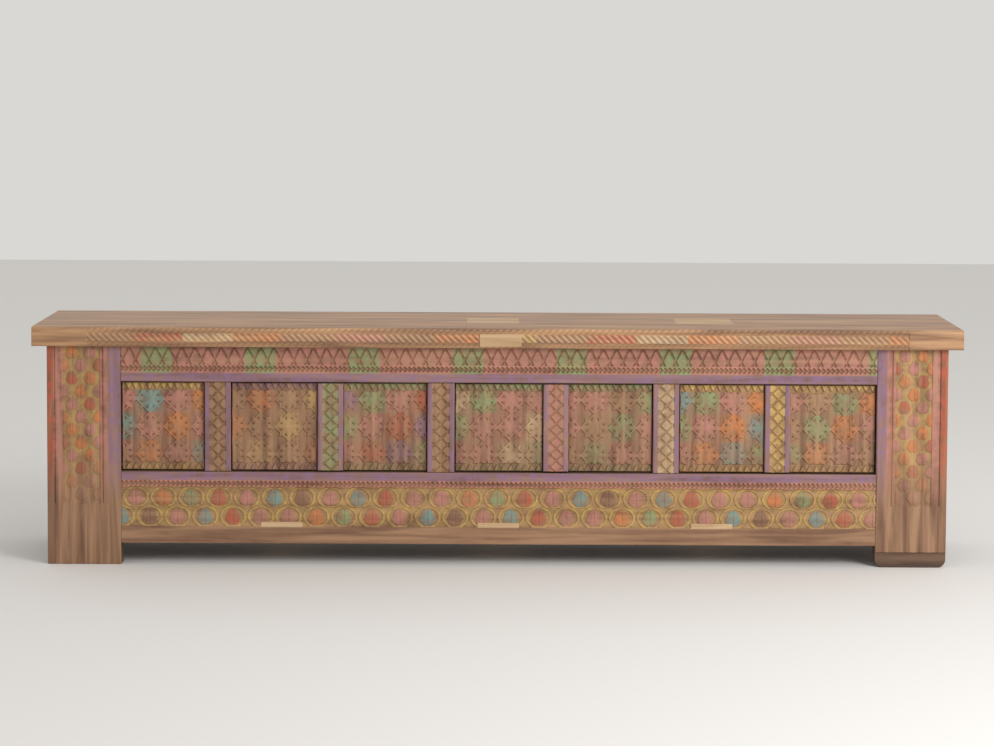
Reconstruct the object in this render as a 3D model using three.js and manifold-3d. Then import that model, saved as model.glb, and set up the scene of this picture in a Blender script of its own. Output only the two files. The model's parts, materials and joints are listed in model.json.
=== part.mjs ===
// A long, low cabinet of old carved wood: a plank top on a mortised frame, two broad plank legs
// in front, and seven small door leaves that turn on wooden pins in the rails.
// Millimetres, +Z up, the front faces -Y, the floor is Z = 0.

import * as THREE from 'three';
import { mergeVertices } from 'three/addons/utils/BufferGeometryUtils.js';
import Module from 'manifold-3d';

const wasm = await Module();
wasm.setup();

// Overall
const topLength = 2400;
const topDepth = 400;
const height = 620;
const topThickness = 50;
const topArris = 9;
const bodyLength = 2328;
const frontOverhang = 22;
const rearOverhang = 10;

// Clearances
const joint = 0.3; // between pieces that are fitted together
const doorGap = 3.5; // over, under and beside a leaf
const leafGap = 2.5; // between a leaf and its neighbour's stile
const pinGap = 0.3;

// Front frame
const frameThickness = 45;
const leftPostWidth = 190;
const rightPostWidth = 183;
const topRailHeight = 93;
const bottomRailBottom = 56;
const bottomRailHeight = 187;
const railTenonLength = 60;
const railTenonThickness = 15;
const tenonShoulder = 15;
const stileThickness = 32;
const lipThickness = 13;
const lipReach = 8;
const footBlockHeight = 39;
const footPatchWidth = 34;
const footPatchHeight = 80;
const footPatchDepth = 12;
const footArris = 22;

// Door leaves
const leafThickness = 22;
const leafRecess = 9;
const pinRadius = 5;
const pinLength = 12;
const pivotInset = 14; // from the frame's side face to the turning line
const stileFront = 1; // a meeting stile's face behind the frame's face
const ledgeHeight = 36;
const ledgeThickness = 16;
const ledgeInset = 30;

// Places along the front, where the fixed stiles and the meeting stiles stand
const fixedStiles = [[-757, -690], [-181, -111], [403, 470]];
const meetingStiles = [[-465, -399], [119, 183.5], [692.5, 757]];
const seamInDoor3 = -310;
const seamInDoor7 = 912;

// Rear and sides
const rearPostWidth = 120;
const rearRailHeight = 100;
const backBoardThickness = 18;
const sideInset = 31; // from a post's outer face to a side rail
const sideRailThickness = 30;
const sidePanelThickness = 14;
const sideTenonThickness = 20;
const rightTenon = [59, 157];
const leftTenon = [62, 168];
const leftTenonSunk = 6;

// Floor
const bearerCentres = [-558, 3, 556];
const bearerWidth = 108;
const bearerTenonHeight = 14;
const bearerHeight = 30;
const floorTop = 131;
const floorThickness = 18;
const floorBoards = 3;

// Top boards
const frontPlankDepth = 140;
const middleStripDepth = 120;
const middleJoints = [-82, 57, 469, 620];
const patch = { from: -46, to: 62, bottom: 574, top: 606, depth: 14 };

// Worked out from the values above
const topUnder = height - topThickness;
const frontY = -topDepth / 2 + frontOverhang;
const rearY = topDepth / 2 - rearOverhang;
const leftEnd = -bodyLength / 2;
const rightEnd = bodyLength / 2;
const openingLeft = leftEnd + leftPostWidth;
const openingRight = rightEnd - rightPostWidth;
const frameTop = topUnder - joint;
const openingTop = topUnder - topRailHeight;
const openingBottom = bottomRailBottom + bottomRailHeight;
const frameBack = frontY + frameThickness;
const rearFrameFront = rearY - frameThickness;
const pivotY = frontY + leafRecess + leafThickness / 2;
const bearerTop = floorTop - floorThickness - joint;

const wood = (colour, roughness) =>
  new THREE.MeshStandardMaterial({ color: colour, roughness, metalness: 0 });
const finishes = {
  brown: wood(0x8a5f3f, 0.7),
  dark: wood(0x5d4030, 0.8),
  pale: wood(0xc39a6b, 0.75),
  top: wood(0xa9764a, 0.6),
  pink: wood(0xb3705f, 0.75),
};

const cabinet = new THREE.Group();
cabinet.name = 'low_cabinet';

function asSolid(geometry) {
  geometry.deleteAttribute('normal');
  geometry.deleteAttribute('uv');
  const merged = mergeVertices(geometry, 1e-4);
  return new wasm.Manifold(new wasm.Mesh({
    numProp: 3,
    vertProperties: new Float32Array(merged.attributes.position.array),
    triVerts: new Uint32Array(merged.index.array),
  }));
}

// A box from its two limits along each axis.
function block(x, y, z) {
  const shape = new THREE.BoxGeometry(x[1] - x[0], y[1] - y[0], z[1] - z[0]);
  shape.translate((x[0] + x[1]) / 2, (y[0] + y[1]) / 2, (z[0] + z[1]) / 2);
  return asSolid(shape);
}

function grown([low, high], by) {
  return [low - by, high + by];
}

function upright(radius, x, y, z) {
  const shape = new THREE.CylinderGeometry(radius, radius, z[1] - z[0], 32);
  shape.rotateX(Math.PI / 2).translate(x, y, (z[0] + z[1]) / 2);
  return asSolid(shape);
}

// Adds a solid as a mesh that is placed by the middle of its own box.
function addPiece(name, solid, material, group = cabinet) {
  const { vertProperties, triVerts } = solid.getMesh();
  const geometry = new THREE.BufferGeometry();
  geometry.setAttribute('position', new THREE.BufferAttribute(new Float32Array(vertProperties), 3));
  geometry.setIndex(new THREE.BufferAttribute(new Uint32Array(triVerts), 1));
  geometry.computeBoundingBox();
  const middle = geometry.boundingBox.getCenter(new THREE.Vector3());
  geometry.translate(-middle.x, -middle.y, -middle.z);
  geometry.computeVertexNormals();
  const mesh = new THREE.Mesh(geometry, material);
  mesh.name = name;
  mesh.position.copy(middle);
  group.add(mesh);
}

// The tenons at both ends of a long rail, and the mortises that they need.
function railTenons(from, to, z, frontOfFrame, by = 0) {
  const depth = frontOfFrame + (frameThickness - railTenonThickness) / 2;
  const y = grown([depth, depth + railTenonThickness], by);
  const tall = grown([z[0] + tenonShoulder, z[1] - tenonShoulder], by);
  const left = [from - railTenonLength - by, from + 1 + by];
  const right = [to - 1 - by, to + railTenonLength + by];
  return block(left, y, tall).add(block(right, y, tall));
}

const topRailZ = [openingTop, frameTop];
const bottomRailZ = [bottomRailBottom, openingBottom];
const frontFrameY = [frontY, frameBack];
const railX = [openingLeft + joint, openingRight - joint];

// One entry for each leaf: where its opening or its neighbour's stile begins and ends.
const leaves = [
  { name: 'door_1', x: [openingLeft, fixedStiles[0][0]], hinge: 'left' },
  { name: 'door_2', x: [fixedStiles[0][1], meetingStiles[0][0]], hinge: 'left', meets: true },
  { name: 'door_3', x: [meetingStiles[0][0], fixedStiles[1][0]], hinge: 'right',
    stile: meetingStiles[0], seam: seamInDoor3 },
  { name: 'door_4', x: [fixedStiles[1][1], meetingStiles[1][0]], hinge: 'left', meets: true },
  { name: 'door_5', x: [meetingStiles[1][0], fixedStiles[2][0]], hinge: 'right',
    stile: meetingStiles[1] },
  { name: 'door_6', x: [fixedStiles[2][1], meetingStiles[2][0]], hinge: 'left', meets: true },
  { name: 'door_7', x: [meetingStiles[2][0], openingRight], hinge: 'right',
    stile: meetingStiles[2], seam: seamInDoor7 },
];

const pivotX = (leaf) =>
  leaf.hinge === 'left' ? leaf.x[0] + pivotInset : leaf.x[1] - pivotInset;

// Every pin of the leaves, or the holes that take them.
function pins(by) {
  return leaves.map((leaf) => pinsOf(leaf, by)).reduce((all, next) => all.add(next));
}

function pinsOf(leaf, by) {
  const reach = doorGap + pinLength + by;
  const high = [openingTop - doorGap - 1, openingTop - doorGap + reach];
  const low = [openingBottom + doorGap - reach, openingBottom + doorGap + 1];
  return upright(pinRadius + by, pivotX(leaf), pivotY, high)
    .add(upright(pinRadius + by, pivotX(leaf), pivotY, low));
}

// The lip behind an opening that a closed leaf comes to rest near.
function lip(z) {
  return block(railX, [frameBack - lipThickness, frameBack], z);
}

function frontFrame() {
  const topTenons = railTenons(railX[0], railX[1], topRailZ, frontY);
  const bottomTenons = railTenons(railX[0], railX[1], bottomRailZ, frontY);
  const topRail = block(railX, frontFrameY, topRailZ)
    .add(lip([openingTop - lipReach, openingTop + 1])).add(topTenons).subtract(pins(pinGap));
  const bottomRail = block(railX, frontFrameY, bottomRailZ)
    .add(lip([openingBottom - 1, openingBottom + lipReach])).add(bottomTenons)
    .subtract(pins(pinGap)).subtract(bearerTenons(joint));
  addPiece('front_top_rail', topRail, finishes.pink);
  addPiece('front_bottom_rail', bottomRail, finishes.pink);

  const mortises = railTenons(railX[0], railX[1], topRailZ, frontY, joint)
    .add(railTenons(railX[0], railX[1], bottomRailZ, frontY, joint));
  addPiece('front_post_left', leftPost().subtract(mortises), finishes.brown);
  addPiece('front_post_right', rightPost().subtract(mortises), finishes.brown);

  const stileZ = [openingBottom + joint, openingTop - joint];
  ['left', 'middle', 'right'].forEach((place, i) => {
    const body = block(fixedStiles[i], [frontY, frontY + stileThickness], stileZ);
    const behind = block(grown(fixedStiles[i], 1),
      [frameBack - lipThickness - joint, frameBack + 1], [openingBottom, openingBottom + lipReach + joint]);
    const above = block(grown(fixedStiles[i], 1),
      [frameBack - lipThickness - joint, frameBack + 1], [openingTop - lipReach - joint, openingTop]);
    addPiece(`fixed_stile_${place}`, body.subtract(behind).subtract(above), finishes.pink);
  });
}

function leftPost() {
  const sunk = [frontY - 1, frontY + footPatchDepth + joint];
  const patchHole = block([openingLeft - footPatchWidth - joint, openingLeft + 1], sunk,
    [-1, footPatchHeight + joint]);
  return block([leftEnd, openingLeft], frontFrameY, [0, frameTop])
    .subtract(patchHole).subtract(sideTenon('left', joint));
}

function rightPost() {
  return block([openingRight, rightEnd], frontFrameY, [footBlockHeight + joint, frameTop])
    .subtract(sideTenon('right', joint));
}

// The right foot has both lower corners rounded.
function feet() {
  const outline = new THREE.Shape();
  outline.moveTo(openingRight + footArris, 0);
  outline.lineTo(rightEnd - footArris, 0);
  outline.absarc(rightEnd - footArris, footArris, footArris, -Math.PI / 2, 0, false);
  outline.lineTo(rightEnd, footBlockHeight);
  outline.lineTo(openingRight, footBlockHeight);
  outline.absarc(openingRight + footArris, footArris, footArris, Math.PI, 1.5 * Math.PI, false);
  const foot = new THREE.ExtrudeGeometry(outline, { depth: frameThickness, bevelEnabled: false,
    curveSegments: 12 });
  foot.rotateX(Math.PI / 2).translate(0, frameBack, 0);
  addPiece('foot_block_right', asSolid(foot), finishes.brown);
  addPiece('foot_patch_left', block([openingLeft - footPatchWidth, openingLeft],
    [frontY, frontY + footPatchDepth], [0, footPatchHeight]), finishes.dark);
}

// A leaf is a board with a half-round heel about its turning line, and a pin at each end of it.
function doors() {
  const z = [openingBottom + doorGap, openingTop - doorGap];
  const y = [frontY + leafRecess, frontY + leafRecess + leafThickness];
  for (const leaf of leaves) {
    const turning = pivotX(leaf);
    const group = new THREE.Group();
    group.name = `${leaf.name}_leaf`;
    cabinet.add(group);
    const free = leaf.stile ? leaf.stile[1] + joint
      : leaf.hinge === 'left' ? leaf.x[1] - (leaf.meets ? leafGap : doorGap) : leaf.x[0] + doorGap;
    const heel = upright(leafThickness / 2, turning, pivotY, z);
    const span = leaf.hinge === 'left' ? [turning, free] : [free, turning];
    const hung = leaf.seam ? [leaf.seam + joint, turning] : span;
    addPiece(leaf.name, block(hung, y, z).add(heel).add(pinsOf(leaf, 0)), finishes.brown, group);
    if (leaf.seam) addPiece(`${leaf.name}_board`, block([free, leaf.seam], y, z), finishes.brown, group);
    if (!leaf.stile) continue;
    addPiece(`${leaf.name}_stile`, block(leaf.stile, [frontY + stileFront, y[1]], z), finishes.pink,
      group);
    const ledgeX = [leaf.stile[0] + tenonShoulder, turning - ledgeInset];
    const ledgeY = [y[1] + joint, y[1] + joint + ledgeThickness];
    const quarter = (z[1] - z[0]) / 4;
    for (const [place, middle] of [['lower', z[0] + quarter], ['upper', z[1] - quarter]]) {
      const ledgeZ = [middle - ledgeHeight / 2, middle + ledgeHeight / 2];
      addPiece(`${leaf.name}_ledge_${place}`, block(ledgeX, ledgeY, ledgeZ), finishes.dark, group);
    }
  }
}

// A side rail's tenon goes right through the front post.
function sideTenon(side, by) {
  const outer = sideInset + (sideRailThickness - sideTenonThickness) / 2;
  const x = side === 'left' ? [leftEnd + outer, leftEnd + outer + sideTenonThickness]
    : [rightEnd - outer - sideTenonThickness, rightEnd - outer];
  const z = side === 'left' ? leftTenon : rightTenon;
  const start = by ? frontY - 1 : side === 'left' ? frontY + leftTenonSunk : frontY;
  return block(grown(x, by), [start, frameBack + 1 + joint], grown(z, by));
}

function sides() {
  const y = [frameBack + joint, rearFrameFront - joint];
  for (const side of ['left', 'right']) {
    const x = side === 'left' ? [leftEnd + sideInset, leftEnd + sideInset + sideRailThickness]
      : [rightEnd - sideInset - sideRailThickness, rightEnd - sideInset];
    const middle = (x[0] + x[1]) / 2;
    const panelX = [middle - sidePanelThickness / 2, middle + sidePanelThickness / 2];
    addPiece(`side_top_rail_${side}`, block(x, y, topRailZ), finishes.dark);
    addPiece(`side_bottom_rail_${side}`, block(x, y, bottomRailZ).add(sideTenon(side, 0)),
      finishes.dark);
    addPiece(`side_panel_${side}`, block(panelX, y, [openingBottom + joint, openingTop - joint]),
      finishes.dark);
  }
}

function rear() {
  const y = [rearFrameFront, rearY];
  const x = [leftEnd + rearPostWidth + joint, rightEnd - rearPostWidth - joint];
  const topZ = [topUnder - rearRailHeight, frameTop];
  const bottomZ = [bottomRailBottom, bottomRailBottom + rearRailHeight];
  const cut = railTenons(x[0], x[1], topZ, rearFrameFront, joint)
    .add(railTenons(x[0], x[1], bottomZ, rearFrameFront, joint));
  addPiece('rear_post_left',
    block([leftEnd, leftEnd + rearPostWidth], y, [0, frameTop]).subtract(cut), finishes.dark);
  addPiece('rear_post_right',
    block([rightEnd - rearPostWidth, rightEnd], y, [0, frameTop]).subtract(cut), finishes.dark);
  addPiece('rear_top_rail',
    block(x, y, topZ).add(railTenons(x[0], x[1], topZ, rearFrameFront)), finishes.dark);
  addPiece('rear_bottom_rail',
    block(x, y, bottomZ).add(railTenons(x[0], x[1], bottomZ, rearFrameFront)), finishes.dark);
  const boardY = [rearY - backBoardThickness, rearY];
  const low = bottomZ[1] + joint;
  const high = topZ[0] - joint;
  const middle = (low + high) / 2;
  addPiece('back_board_lower', block(x, boardY, [low, middle - joint / 2]), finishes.dark);
  addPiece('back_board_upper', block(x, boardY, [middle + joint / 2, high]), finishes.dark);
}

// The flat tenons of the floor bearers, which show in the face of the bottom rail.
function bearerTenons(by) {
  return bearerCentres.map((centre) => block(
    grown([centre - bearerWidth / 2, centre + bearerWidth / 2], by),
    [by ? frontY - 1 : frontY, frameBack + 1 + joint],
    grown([bearerTop - bearerTenonHeight, bearerTop], by))).reduce((all, next) => all.add(next));
}

function floor() {
  const y = [frameBack + joint, rearFrameFront - joint];
  ['left', 'middle', 'right'].forEach((place, i) => {
    const x = [bearerCentres[i] - bearerWidth / 2, bearerCentres[i] + bearerWidth / 2];
    const tenon = block(x, [frontY, y[0] + 1], [bearerTop - bearerTenonHeight, bearerTop]);
    addPiece(`floor_bearer_${place}`, block(x, y, [bearerTop - bearerHeight, bearerTop]).add(tenon),
      finishes.pale);
  });
  const inner = sideInset + sideRailThickness + joint;
  const width = (y[1] - y[0] - (floorBoards - 1) * joint) / floorBoards;
  for (let i = 0; i < floorBoards; i += 1) {
    const start = y[0] + i * (width + joint);
    addPiece(`floor_board_${i + 1}`, block([leftEnd + inner, rightEnd - inner],
      [start, start + width], [floorTop - floorThickness, floorTop]), finishes.pale);
  }
}

// The plank along the front edge, with its upper and lower front corners rounded.
function frontPlank() {
  const front = -topDepth / 2;
  const outline = new THREE.Shape();
  outline.moveTo(front + frontPlankDepth, topUnder);
  outline.lineTo(front + frontPlankDepth, height);
  outline.lineTo(front + topArris, height);
  outline.absarc(front + topArris, height - topArris, topArris, Math.PI / 2, Math.PI, false);
  outline.lineTo(front, topUnder + topArris / 2);
  outline.absarc(front + topArris / 2, topUnder + topArris / 2, topArris / 2, Math.PI,
    1.5 * Math.PI, false);
  const plank = new THREE.ExtrudeGeometry(outline, { depth: topLength, bevelEnabled: false,
    curveSegments: 8 });
  const turned = new THREE.Matrix4().makeBasis(new THREE.Vector3(0, 1, 0),
    new THREE.Vector3(0, 0, 1), new THREE.Vector3(1, 0, 0));
  plank.applyMatrix4(turned).translate(-topLength / 2, 0, 0);
  return asSolid(plank);
}

function top() {
  const front = -topDepth / 2;
  const patchX = [patch.from, patch.to];
  const patchZ = [patch.bottom, patch.top];
  const patchY = [front, front + patch.depth];
  const socket = block(grown(patchX, joint), [front - 1, patchY[1] + joint], grown(patchZ, joint));
  addPiece('top_plank_front', frontPlank().subtract(socket), finishes.top);
  addPiece('top_edge_patch', block(patchX, patchY, patchZ), finishes.pale);
  const stripY = [front + frontPlankDepth + joint, front + frontPlankDepth + middleStripDepth];
  const edges = [-topLength / 2, ...middleJoints, topLength / 2];
  for (let i = 0; i + 1 < edges.length; i += 1) {
    const from = edges[i] + (i ? joint : 0);
    addPiece(`top_strip_board_${i + 1}`, block([from, edges[i + 1]], stripY, [topUnder, height]),
      i % 2 ? finishes.pale : finishes.top);
  }
  addPiece('top_plank_back', block([-topLength / 2, topLength / 2],
    [stripY[1] + joint, topDepth / 2], [topUnder, height]), finishes.top);
}

frontFrame();
feet();
doors();
sides();
rear();
floor();
top();

export default cabinet;
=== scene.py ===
import json
import math

import bpy
import numpy as np
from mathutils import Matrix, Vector


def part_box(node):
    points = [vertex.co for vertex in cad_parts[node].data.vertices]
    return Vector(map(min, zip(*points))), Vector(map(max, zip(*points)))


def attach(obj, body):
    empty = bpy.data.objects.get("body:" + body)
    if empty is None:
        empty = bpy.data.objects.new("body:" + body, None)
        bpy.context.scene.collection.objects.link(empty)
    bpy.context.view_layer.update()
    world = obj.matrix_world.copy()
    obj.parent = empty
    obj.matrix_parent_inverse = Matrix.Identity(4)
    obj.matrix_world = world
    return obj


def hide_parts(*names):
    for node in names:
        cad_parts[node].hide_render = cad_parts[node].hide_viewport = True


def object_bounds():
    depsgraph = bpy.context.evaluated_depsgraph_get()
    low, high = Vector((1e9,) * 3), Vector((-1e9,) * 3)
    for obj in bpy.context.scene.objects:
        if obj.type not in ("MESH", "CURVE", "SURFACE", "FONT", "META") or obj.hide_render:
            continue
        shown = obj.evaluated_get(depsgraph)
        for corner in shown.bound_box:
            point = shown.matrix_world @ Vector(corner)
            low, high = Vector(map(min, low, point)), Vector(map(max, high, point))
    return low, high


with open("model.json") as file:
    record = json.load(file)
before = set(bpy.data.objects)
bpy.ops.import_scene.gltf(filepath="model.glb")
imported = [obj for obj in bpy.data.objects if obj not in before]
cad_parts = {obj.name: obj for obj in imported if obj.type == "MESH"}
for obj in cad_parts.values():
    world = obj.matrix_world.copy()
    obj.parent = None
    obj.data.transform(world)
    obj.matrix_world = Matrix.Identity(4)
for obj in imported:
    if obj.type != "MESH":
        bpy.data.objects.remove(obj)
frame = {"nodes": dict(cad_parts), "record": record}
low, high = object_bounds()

nodes = frame["nodes"]
bodyOf = {node: body for body, names in frame["record"]["behaviour"]["bodies"].items()
          for node in names}

# Paint colours, as linear red, green and blue.
paint = {
    "pink": (0.50, 0.20, 0.16), "red": (0.47, 0.09, 0.04), "orange": (0.62, 0.20, 0.05),
    "yellow": (0.62, 0.42, 0.12), "teal": (0.16, 0.30, 0.27), "green": (0.24, 0.33, 0.14),
    "violet": (0.25, 0.14, 0.24), "cream": (0.60, 0.45, 0.25), "tan": (0.38, 0.22, 0.11),
    "brown": (0.20, 0.10, 0.055),
}


def newGroup(name, sockets):
    group = bpy.data.node_groups.new(name, "ShaderNodeTree")
    for label, kind, way in sockets:
        group.interface.new_socket(label, in_out=way, socket_type=kind)
    return group, group.nodes.new("NodeGroupInput"), group.nodes.new("NodeGroupOutput")


grain = {"scale": 9, "detail": 8, "distortion": 0.6, "darkUpTo": 0.35, "lightFrom": 0.65}


# Grain: noise stretched along the board, between a dark and a light wood colour.
def makeGrain():
    group, given, result = newGroup("wood grain", [
        ("Dark", "NodeSocketColor", "INPUT"), ("Light", "NodeSocketColor", "INPUT"),
        ("Stretch", "NodeSocketVector", "INPUT"), ("Color", "NodeSocketColor", "OUTPUT"),
        ("Height", "NodeSocketFloat", "OUTPUT")])
    add, link = group.nodes.new, group.links.new
    place = add("ShaderNodeTexCoord")
    mapping = add("ShaderNodeMapping")
    link(place.outputs["Object"], mapping.inputs["Vector"])
    link(given.outputs["Stretch"], mapping.inputs["Scale"])
    noise = add("ShaderNodeTexNoise")
    noise.inputs["Scale"].default_value = grain["scale"]
    noise.inputs["Detail"].default_value = grain["detail"]
    noise.inputs["Distortion"].default_value = grain["distortion"]
    link(mapping.outputs["Vector"], noise.inputs["Vector"])
    ramp = add("ShaderNodeValToRGB")
    ramp.color_ramp.elements[0].position = grain["darkUpTo"]
    ramp.color_ramp.elements[1].position = grain["lightFrom"]
    link(noise.outputs["Fac"], ramp.inputs["Fac"])
    mix = add("ShaderNodeMix")
    mix.data_type = "RGBA"
    link(ramp.outputs["Color"], mix.inputs["Factor"])
    link(given.outputs["Dark"], mix.inputs["A"])
    link(given.outputs["Light"], mix.inputs["B"])
    link(mix.outputs["Result"], result.inputs["Color"])
    link(noise.outputs["Fac"], result.inputs["Height"])
    return group


wear = {"scale": 38, "detail": 9, "roughness": 0.65, "wholeUpTo": 0.36, "wornFrom": 0.62,
        "whole": 1, "worn": 0.25}


# Worn paint: the paint attribute's alpha says how much of the paint colour shows, less where the
# paint is worn and less the deeper a point is cut, and noise breaks it up.
def makeWear():
    group, given, result = newGroup("worn paint", [
        ("Wood", "NodeSocketColor", "INPUT"), ("Color", "NodeSocketColor", "OUTPUT")])
    add, link = group.nodes.new, group.links.new
    coat = add("ShaderNodeAttribute")
    coat.attribute_name = "paint"
    place = add("ShaderNodeTexCoord")
    noise = add("ShaderNodeTexNoise")
    noise.inputs["Scale"].default_value = wear["scale"]
    noise.inputs["Detail"].default_value = wear["detail"]
    noise.inputs["Roughness"].default_value = wear["roughness"]
    link(place.outputs["Object"], noise.inputs["Vector"])
    spread = add("ShaderNodeMapRange")
    spread.inputs["From Min"].default_value = wear["wholeUpTo"]
    spread.inputs["From Max"].default_value = wear["wornFrom"]
    spread.inputs["To Min"].default_value = wear["whole"]
    spread.inputs["To Max"].default_value = wear["worn"]
    link(noise.outputs["Fac"], spread.inputs["Value"])
    left = add("ShaderNodeMath")
    left.operation = "MULTIPLY"
    link(coat.outputs["Alpha"], left.inputs[0])
    link(spread.outputs["Result"], left.inputs[1])
    mix = add("ShaderNodeMix")
    mix.data_type = "RGBA"
    link(left.outputs[0], mix.inputs["Factor"])
    link(given.outputs["Wood"], mix.inputs["A"])
    link(coat.outputs["Color"], mix.inputs["B"])
    link(mix.outputs["Result"], result.inputs["Color"])
    return group


grainGroup, wearGroup = makeGrain(), makeWear()

# Each wood's dark and light grain colours.
tones = {
    "carved": ((0.16, 0.075, 0.04), (0.36, 0.20, 0.11)),
    "top": ((0.22, 0.11, 0.055), (0.50, 0.28, 0.14)),
    "pale": ((0.42, 0.26, 0.13), (0.62, 0.43, 0.25)),
    "dark": ((0.07, 0.04, 0.025), (0.16, 0.09, 0.055)),
}
stretches = {"x": (0.35, 6, 6), "y": (6, 0.35, 6), "z": (6, 6, 0.35)}  # which way the grain runs
grainBump = {"strength": 0.25, "distance": 0.001}


def wood(name, tone, along, rough, painted=False):
    material = bpy.data.materials.new(name)
    material.use_nodes = True
    tree = material.node_tree
    shader = tree.nodes["Principled BSDF"]
    fibres = tree.nodes.new("ShaderNodeGroup")
    fibres.node_tree = grainGroup
    fibres.inputs["Dark"].default_value = (*tones[tone][0], 1)
    fibres.inputs["Light"].default_value = (*tones[tone][1], 1)
    fibres.inputs["Stretch"].default_value = stretches[along]
    shown = fibres.outputs["Color"]
    if painted:
        worn = tree.nodes.new("ShaderNodeGroup")
        worn.node_tree = wearGroup
        tree.links.new(shown, worn.inputs["Wood"])
        shown = worn.outputs["Color"]
    tree.links.new(shown, shader.inputs["Base Color"])
    bump = tree.nodes.new("ShaderNodeBump")
    bump.inputs["Strength"].default_value = grainBump["strength"]
    bump.inputs["Distance"].default_value = grainBump["distance"]
    tree.links.new(fibres.outputs["Height"], bump.inputs["Height"])
    tree.links.new(bump.outputs["Normal"], shader.inputs["Normal"])
    shader.inputs["Roughness"].default_value = rough
    return material


carvedX = wood("carved wood along", "carved", "x", 0.65, painted=True)
carvedZ = wood("carved wood upright", "carved", "z", 0.65, painted=True)
topWood = wood("top plank wood", "top", "x", 0.42)
topPainted = wood("carved plank wood", "top", "x", 0.45, painted=True)
paleWood = wood("pale mended wood", "pale", "x", 0.55)
darkX = wood("dark wood along", "dark", "x", 0.75)
darkY = wood("dark wood across", "dark", "y", 0.75)
darkZ = wood("dark wood upright", "dark", "z", 0.75)

palePieces = ("top_strip_board_2", "top_strip_board_4", "top_edge", "floor_bearer")


def finishNodes():
    for name, obj in nodes.items():
        if name.startswith(palePieces):
            material = paleWood
        elif name.startswith("top_"):
            material = topWood
        elif name.startswith("side_") and "panel" not in name:
            material = darkY
        elif "post" in name or "stile" in name:
            material = darkZ
        else:
            material = darkX
        obj.data.materials.clear()
        obj.data.materials.append(material)


carving = {"step": 0.002, "depth": 0.004, "rimLevel": 0.6, "deepest": -2,
           "hollowMix": 0.35}  # the share of the paint colour that shows at the bottom of a cut, so cuts are darker the deeper they are


# A closed block with a carved front. The front is a grid over X and Z, whose Y is the face plus
# the depth times one minus the relief. Its rim is joined by walls to one flat face behind.
def carvedBlock(name, box, relief, coat, strength, material, body, replaced=()):
    (x0, y0, z0), (x1, y1, z1) = box
    columns = max(2, round((x1 - x0) / carving["step"]))
    rows = max(2, round((z1 - z0) / carving["step"]))
    gridX, gridZ = np.meshgrid(np.linspace(x0, x1, columns + 1), np.linspace(z0, z1, rows + 1))
    raised = np.clip(relief(gridX, gridZ), carving["deepest"], 1)
    rim = np.minimum.reduce([gridX - x0, x1 - gridX, gridZ - z0, z1 - gridZ]) < 1e-6
    raised[rim] = np.minimum(raised[rim], carving["rimLevel"])
    gridY = y0 + carving["depth"] * (1 - raised)
    front = np.stack([gridX, gridY, gridZ], -1).reshape(-1, 3)
    count = len(front)
    index = np.arange(count).reshape(rows + 1, columns + 1)
    quads = np.stack([index[:-1, :-1], index[:-1, 1:], index[1:, 1:], index[1:, :-1]],
                     -1).reshape(-1, 4)
    edge = np.concatenate([index[0, :-1], index[:-1, -1], index[-1, :0:-1], index[:0:-1, 0]])
    back = front[edge].copy()
    back[:, 1] = y1
    rimBack = count + np.arange(len(edge))
    walls = np.stack([np.roll(edge, -1), edge, rimBack, np.roll(rimBack, -1)], -1)
    points = np.concatenate([front, back])
    mesh = bpy.data.meshes.new(name)
    mesh.from_pydata(points.tolist(), [],
                     quads.tolist() + walls.tolist() + [rimBack[::-1].tolist()])
    colours = np.zeros((len(points), 4), dtype=np.float32)
    colours[:, :3] = paint["brown"]
    colours[:count, :3] = coat(gridX, gridZ).reshape(-1, 3)
    # Deeper points show less of the paint colour and more of the dark wood colour, so cuts are
    # darker the deeper they are.
    depthMix = carving["hollowMix"] + (1 - carving["hollowMix"]) * raised
    colours[:count, 3] = np.clip(strength(gridX, gridZ) * depthMix, 0, 1).ravel()
    layer = mesh.color_attributes.new("paint", "FLOAT_COLOR", "POINT")
    layer.data.foreach_set("color", colours.ravel())
    mesh.materials.append(material)
    obj = bpy.data.objects.new(name, mesh)
    bpy.context.scene.collection.objects.link(obj)
    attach(obj, body)
    if replaced:
        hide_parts(*replaced)


# The paint names in turn, by a whole number at each grid point.
def choose(names, which):
    return np.array([paint[n] for n in names])[np.mod(which.astype(int), len(names))]


def colour(name):
    return np.array(paint[name])


# The offsets from the middle of the square or oblong cell that each point is in.
def cells(x, z, pitchX, pitchZ):
    column, row = np.floor(x / pitchX), np.floor(z / pitchZ)
    return x - (column + 0.5) * pitchX, z - (row + 0.5) * pitchZ, column, row


# The same cells with every other row moved half a cell along.
def staggered(x, z, pitchX, pitchZ):
    row = np.floor(z / pitchZ)
    return cells(x + np.mod(row, 2) * pitchX / 2, z, pitchX, pitchZ)


flowerForm = {"petals": 8, "eye": 0.22, "waist": 0.78, "crown": 0.95, "fall": 0.5}


# A flower: the petals' reach follows the cosine of the angle, and they fall off by its cube.
def flower(x, z, radius):
    far = np.hypot(x, z) / radius
    wave = np.cos(flowerForm["petals"] * np.arctan2(z, x))
    reach = flowerForm["waist"] + (1 - flowerForm["waist"]) * wave
    petal = flowerForm["crown"] - flowerForm["fall"] * (far / reach) ** 3
    return np.where(far < flowerForm["eye"], 1.0, np.where(far < reach, petal, 0.0))


budForm = {"point": 0.35, "fall": 0.4, "rib": 0.25, "ribWidth": 0.002}


# A bud: an oval of two squares added, drawn to a point above its middle, with a cut centre rib.
def bud(dx, dz, wide, tall):
    shape = (dx / wide) ** 2 + (dz / tall) ** 2 + budForm["point"] * np.abs(dx) / wide * (dz > 0)
    rib = budForm["rib"] * (np.abs(dx) < budForm["ribWidth"])
    return np.where(shape < 1, 1 - budForm["fall"] * shape - rib, 0.0)


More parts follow.
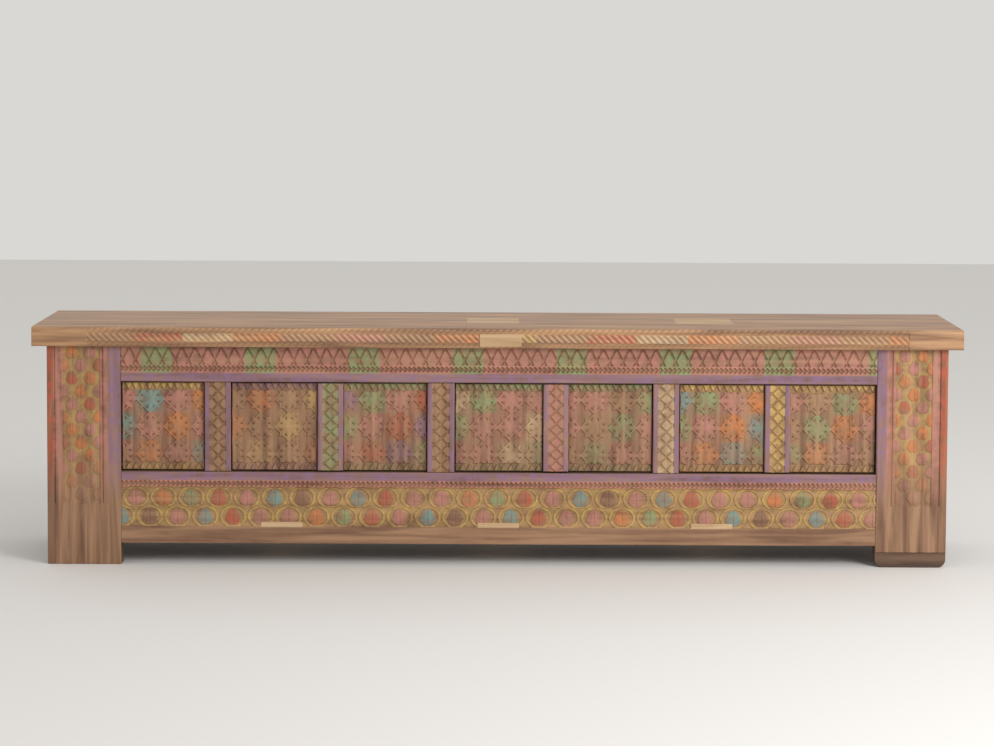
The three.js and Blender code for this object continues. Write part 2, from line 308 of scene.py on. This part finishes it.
# Teeth along an edge: one where the distance from the edge is under a triangle wave.
def teeth(along, away, pitch, tall):
    wave = np.abs(np.mod(along / pitch, 1) - 0.5) * 2
    return (away < tall * wave).astype(float)


# From the least value at the bottom, straight up to one at the top.
def fade(z, bottom, top, least):
    return least + (1 - least) * np.clip((z - bottom) / (top - bottom), 0, 1)


# Each door's tooth colour, its flowers' colours in turn, and how much paint is left.
doorPaint = {
    "door_1": {"teeth": "yellow", "petals": ["pink", "orange", "pink", "teal"], "left": 0.95},
    "door_2": {"teeth": "violet", "petals": ["tan", "yellow", "tan", "orange"], "left": 0.45},
    "door_3": {"teeth": "green", "petals": ["violet", "red", "pink", "green"], "left": 0.8},
    "door_4": {"teeth": "green", "petals": ["cream", "pink", "pink", "green"], "left": 0.8},
    "door_5": {"teeth": "green", "petals": ["pink", "green", "tan", "pink"], "left": 0.7},
    "door_6": {"teeth": "yellow", "petals": ["teal", "orange", "pink", "green"], "left": 0.95},
    "door_7": {"teeth": "yellow", "petals": ["pink", "orange", "green", "tan"], "left": 0.85},
}
doorCarving = {"from": 0.2465, "to": 0.4735,  # heights above the floor of a board with pins
               "pitch": 0.072, "lift": 0.005, "border": 0.020, "tooth": 0.018, "rib": 0.004,
               "ribLevel": 0.7, "wornHeight": 0.16, "wornLeast": 0.35, "rowShift": 3}


# A door board: flowers in a net of diamonds, with a row of teeth along the top and bottom.
def carveDoor(node, look, z0, z1):
    form = doorCarving
    pitch = form["pitch"]

    def inCell(x, z):
        return cells(x, z - z0 - form["lift"], pitch, pitch)

    def fromEdge(z):
        return np.minimum(z - z0, z1 - z)

    def relief(x, z):
        dx, dz, _, _ = inCell(x, z)
        diamond = np.abs(np.abs(dx) + np.abs(dz) - pitch / 2) < form["rib"]
        net = np.maximum(flower(dx, dz, pitch / 2), diamond * form["ribLevel"])
        border = teeth(x, fromEdge(z), form["tooth"], form["tooth"])
        return np.where(fromEdge(z) < form["border"], border, net)

    def coat(x, z):
        _, _, column, row = inCell(x, z)
        petals = choose(look["petals"], column * form["rowShift"] + row)
        return np.where(fromEdge(z)[..., None] < form["border"], colour(look["teeth"]), petals)

    def strength(x, z):
        return look["left"] * fade(z, z0, z0 + form["wornHeight"], form["wornLeast"])

    lowest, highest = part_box(node)
    box = ((lowest[0], lowest[1], z0), (highest[0], highest[1], z1))
    carvedBlock("carved_" + node, box, relief, coat, strength, carvedZ, bodyOf[node], [node])


def makeDoors():
    for name, look in doorPaint.items():
        carveDoor(name, look, doorCarving["from"], doorCarving["to"])
        second = name + "_board"
        if second in nodes:
            lowest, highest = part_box(second)
            carveDoor(second, look, lowest[2], highest[2])


stileMiddles = {"fixed_stile_left": "tan", "fixed_stile_middle": "tan",
                "fixed_stile_right": "cream", "door_3_stile": "green", "door_5_stile": "pink",
                "door_7_stile": "yellow"}
stileCarving = {"edgeFrom": 0.62, "cut": 0.003, "cutLevel": 0.2, "faceLevel": 0.85, "coat": 0.8}


# A stile: a plain violet edge each side, and crossed cuts down the middle.
def carveStile(node, middle):
    form = stileCarving
    lowest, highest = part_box(node)
    centre = (lowest[0] + highest[0]) / 2
    half = (highest[0] - lowest[0]) / 2

    def onEdge(x):
        return np.abs(x - centre) > half * form["edgeFrom"]

    def relief(x, z):
        dx, dz, _, _ = cells(x - centre + half / 2, z, half, half)
        crossed = np.abs(np.abs(dx) - np.abs(dz)) < form["cut"]
        return np.where(onEdge(x), 1.0, np.where(crossed, form["cutLevel"], form["faceLevel"]))

    def coat(x, z):
        return np.where(onEdge(x)[..., None], colour("violet"), colour(middle))

    def strength(x, z):
        return np.full(x.shape, form["coat"])

    carvedBlock("carved_" + node, (lowest, highest), relief, coat, strength, carvedZ,
                bodyOf[node], [node])


def makeStiles():
    for node, middle in stileMiddles.items():
        carveStile(node, middle)


plate = {"proud": 0.0042, "off": 0.0001, "endGap": 0.0004}  # carved plates on the solid frame
dots = {"pitch": 0.012, "tall": 0.008}

# Heights are above the floor.
bottomRail = {
    "from": 0.0565, "to": 0.2425, "budsFrom": 0.101, "notchFrom": 0.203, "notchAt": 0.212,
    "mouldingFrom": 0.221, "pitch": (0.072, 0.05), "bud": (0.021, 0.022), "ring": 0.031,
    "ringSquash": 1.2, "ringWidth": 0.003, "ringLevel": 0.7, "ground": 0.15, "plain": 0.9,
    "coat": 0.9, "plainCoat": 0.15,
    "colours": ["pink", "red", "pink", "teal", "red", "orange", "pink", "teal", "brown", "pink",
                "green"],
}
topRail = {
    "from": 0.4775, "to": 0.5695, "notchFrom": 0.501, "notchAt": 0.512, "zigzagFrom": 0.523,
    "pitch": (0.034, 0.068), "cut": 0.005, "cutLevel": 0.1, "plain": 0.9, "coat": 0.85,
    "blocksFrom": -0.92, "blockPitch": 0.268, "blockShare": 0.3,
}


# The bottom rail: buds in rings in two staggered rows, under a notched line and a moulding.
def bottomRailRelief(x, z):
    form = bottomRail
    dx, dz, _, _ = staggered(x, z - form["budsFrom"], *form["pitch"])
    ring = np.abs(np.hypot(dx, dz * form["ringSquash"]) - form["ring"]) < form["ringWidth"]
    field = np.maximum(bud(dx, dz, *form["bud"]),
                       np.where(ring, form["ringLevel"], form["ground"]))
    notch = 1 - teeth(x, np.abs(z - form["notchAt"]), dots["pitch"], dots["tall"])
    return np.select([z > form["mouldingFrom"], z > form["notchFrom"], z > form["budsFrom"]],
                     [1, notch, field], form["plain"])


def bottomRailCoat(x, z):
    form = bottomRail
    dx, dz, column, row = staggered(x, z - form["budsFrom"], *form["pitch"])
    buds = choose(form["colours"], column * 5 + row * 3 + 40)
    onBud = (bud(dx, dz, *form["bud"]) > 0)[..., None]
    field = np.where(onBud, buds, colour("yellow"))
    tall = z[..., None]
    return np.where(tall > form["mouldingFrom"], colour("violet"), np.where(
        tall > form["notchFrom"], colour("pink"), np.where(
            tall > form["budsFrom"], field, colour("tan"))))


def bottomRailStrength(x, z):
    return np.where(z > bottomRail["budsFrom"], bottomRail["coat"], bottomRail["plainCoat"])


# The top rail: a zigzag of straight cuts, with green blocks, over a notched line and a moulding.
def topRailRelief(x, z):
    form = topRail
    dx, dz, _, _ = cells(x, z - form["notchFrom"], *form["pitch"])
    zigzag = np.abs(np.abs(dx) * 2 - np.abs(dz)) < form["cut"]
    notch = 1 - teeth(x, np.abs(z - form["notchAt"]), dots["pitch"], dots["tall"])
    return np.select([z < form["notchFrom"], z < form["zigzagFrom"]], [1, notch],
                     np.where(zigzag, form["cutLevel"], form["plain"]))


def topRailCoat(x, z):
    form = topRail
    along = np.mod((x - form["blocksFrom"]) / form["blockPitch"], 1)
    field = np.where((along < form["blockShare"])[..., None], colour("green"), colour("pink"))
    return np.where(z[..., None] < form["notchFrom"], colour("violet"), field)


def topRailStrength(x, z):
    return np.full(x.shape, topRail["coat"])


def makeRails():
    leftPost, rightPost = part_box("front_post_left"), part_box("front_post_right")
    x0, x1 = leftPost[1][0] + plate["endGap"], rightPost[0][0] - plate["endGap"]
    face = leftPost[0][1]
    for name, form, relief, coat, strength in (
            ("carved_bottom_rail", bottomRail, bottomRailRelief, bottomRailCoat,
             bottomRailStrength),
            ("carved_top_rail", topRail, topRailRelief, topRailCoat, topRailStrength)):
        box = ((x0, face - plate["proud"], form["from"]), (x1, face - plate["off"], form["to"]))
        carvedBlock(name, box, relief, coat, strength, carvedX, "carcass")


# Widths are from the post's outer edge, and heights above the floor.
postCarving = {
    "redTo": 0.018, "fieldFrom": 0.041, "fieldTo": 0.137, "pinkTo": 0.158,
    "lines": (0.020, 0.144), "lineHalf": 0.0015, "lineLevel": 0.3, "plain": 0.95,
    "pitch": (0.047, 0.0335), "bud": (0.016, 0.018), "ground": 0.25,
    "wornBelow": 0.16, "wholeFrom": 0.30, "coat": 0.9, "off": 0.0003,
    "colours": ["orange", "orange", "pink", "pink", "red"],
}


# A post: bands along its length, with two staggered columns of buds in the broad one.
def carvePost(node, outer, way):
    form = postCarving

    def across(x):
        return (x - outer) * way

    def relief(x, z):
        place = across(x)
        dx, dz, _, _ = staggered(place - form["fieldFrom"], z, *form["pitch"])
        buds = np.maximum(bud(dx, dz, *form["bud"]), form["ground"])
        line = np.any([np.abs(place - at) < form["lineHalf"] for at in form["lines"]], axis=0)
        inField = (place > form["fieldFrom"]) & (place < form["fieldTo"])
        return np.select([z < form["wornBelow"], inField, line],
                         [form["plain"], buds, form["lineLevel"]], form["plain"])

    def coat(x, z):
        place = across(x)
        dx, dz, column, row = staggered(place - form["fieldFrom"], z, *form["pitch"])
        buds = choose(form["colours"], row + column * 2 + 10)
        onBud = (bud(dx, dz, *form["bud"]) > 0)[..., None]
        place = place[..., None]
        field = np.where(onBud, buds, colour("yellow"))
        return np.where(place < form["redTo"], colour("red"), np.where(
            place < form["fieldFrom"], colour("pink"), np.where(
                place < form["fieldTo"], field, np.where(
                    place < form["pinkTo"], colour("pink"), colour("violet")))))

    def strength(x, z):
        return form["coat"] * fade(z, form["wornBelow"], form["wholeFrom"], 0)

    lowest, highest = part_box(node)
    box = ((lowest[0], lowest[1] - plate["proud"], lowest[2] + form["off"]),
           (highest[0], lowest[1] - plate["off"], highest[2]))
    carvedBlock("carved_" + node, box, relief, coat, strength, carvedZ, "carcass")


def makePosts():
    carvePost("front_post_left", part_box("front_post_left")[0][0], 1)
    carvePost("front_post_right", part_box("front_post_right")[1][0], -1)


topEdge = {
    "bandFrom": 0.582, "bandTo": 0.606, "pitch": 0.017, "ground": 0.2, "rise": 0.75,
    "plainBeyond": 1.06, "plain": 0.9, "arris": 0.009, "coat": 0.8, "stretch": 0.13,
    "colours": ["yellow", "tan", "red", "cream", "orange", "tan", "pink", "tan", "orange"],
}


# The front plank: slanted cuts that turn at each band, as a triangle wave of X plus or minus Z.
# Its upper corner is set back by the arris radius less the height of the arc.
def makeTopEdge():
    form = topEdge
    lowest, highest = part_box("top_plank_front")
    arris = form["arris"]

    def relief(x, z):
        slant = np.where((z > form["bandFrom"]) & (z < form["bandTo"]), 1, -1)
        wave = np.abs(np.mod((x + slant * z) / form["pitch"], 1) - 0.5) * 2
        cuts = form["ground"] + form["rise"] * wave
        over = np.clip(z - (highest[2] - arris), 0, arris)
        setBack = (arris - np.sqrt(arris ** 2 - over ** 2)) / carving["depth"]
        return np.where(np.abs(x) > form["plainBeyond"], form["plain"], cuts) - setBack

    def coat(x, z):
        return choose(form["colours"], np.floor((x - low[0]) / form["stretch"]))

    def strength(x, z):
        bare = (np.abs(x) > form["plainBeyond"]) | (z < form["bandFrom"]) | (z > form["bandTo"])
        return np.where(bare, 0, form["coat"])

    carvedBlock("carved_top_plank", (lowest, highest), relief, coat, strength, topPainted,
                "carcass", ["top_plank_front"])


tenonEnd = {"tall": 0.014, "proud": 0.0052, "off": 0.0002, "level": 0.95}


# The flat ends of the floor bearers, seen in the face of the bottom rail.
def makeTenonEnds():
    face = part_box("front_post_left")[0][1]
    for place in ("left", "middle", "right"):
        lowest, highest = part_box("floor_bearer_" + place)
        box = ((lowest[0], face - tenonEnd["proud"], highest[2] - tenonEnd["tall"]),
               (highest[0], face - tenonEnd["off"], highest[2]))
        carvedBlock("tenon_end_" + place, box, lambda x, z: np.full(x.shape, tenonEnd["level"]),
                    lambda x, z: choose(["tan"], x * 0), lambda x, z: x * 0, paleWood, "carcass")


backdrop = {"reach": 9, "colour": (0.8, 0.79, 0.77, 1), "roughness": 0.9}


def makeStage():
    surface = bpy.data.materials.new("plain backdrop")
    surface.use_nodes = True
    shader = surface.node_tree.nodes["Principled BSDF"]
    shader.inputs["Base Color"].default_value = backdrop["colour"]
    shader.inputs["Roughness"].default_value = backdrop["roughness"]
    reach = backdrop["reach"]
    mesh = bpy.data.meshes.new("floor")
    mesh.from_pydata([(-reach, -reach, 0), (reach, -reach, 0), (reach, reach, 0),
                      (-reach, reach, 0)], [], [(0, 1, 2, 3)])
    mesh.materials.append(surface)
    obj = bpy.data.objects.new("floor", mesh)
    bpy.context.scene.collection.objects.link(obj)


window = {"place": (3.2, -3.6, 2.6), "aim": (0, 0, 0.3), "size": 2.0, "power": 150}


def makeWindow():
    lamp = bpy.data.lights.new("window", "AREA")
    lamp.size, lamp.energy = window["size"], window["power"]
    obj = bpy.data.objects.new("window", lamp)
    obj.location = window["place"]
    toward = Vector(window["aim"]) - Vector(window["place"])
    obj.rotation_euler = toward.to_track_quat("-Z", "Y").to_euler()
    bpy.context.scene.collection.objects.link(obj)


# Metres and degrees. focal and horizon are pixels of a picture wide by tall pixels.
camera = {"away": 6.36, "height": 1.341, "x": -0.0055, "tilt": 3.5, "roll": -0.27,
          "focal": 2486, "horizon": 48, "wide": 994, "tall": 746, "sensor": 36}


# The tilt takes up part of the way from the horizon to the picture's middle, the shift the rest.
def makeCamera():
    data = bpy.data.cameras.new("camera")
    data.sensor_width = camera["sensor"]
    data.lens = camera["focal"] * camera["sensor"] / camera["wide"]
    tilt = math.radians(camera["tilt"])
    down = camera["tall"] / 2 - camera["horizon"] - camera["focal"] * math.tan(tilt)
    data.shift_y = -down / camera["wide"]
    obj = bpy.data.objects.new("camera", data)
    obj.location = (camera["x"], low[1] - camera["away"], camera["height"])
    obj.rotation_euler = (math.pi / 2 - tilt, math.radians(camera["roll"]), 0)
    bpy.context.scene.collection.objects.link(obj)
    bpy.context.scene.camera = obj


daylight = {"colour": (1, 0.98, 0.95, 1), "strength": 0.7}


def makeWorld():
    world = bpy.data.worlds.new("studio")
    world.use_nodes = True
    sky = world.node_tree.nodes["Background"]
    sky.inputs["Color"].default_value = daylight["colour"]
    sky.inputs["Strength"].default_value = daylight["strength"]
    bpy.context.scene.world = world
    bpy.context.scene.view_settings.view_transform = "Standard"


makeCamera()
makeWorld()
makeStage()
makeWindow()
print("camera and light done")
finishNodes()
makeDoors()
makeStiles()
print("doors done")
makeRails()
makePosts()
makeTopEdge()
makeTenonEnds()
print("carved frame done")
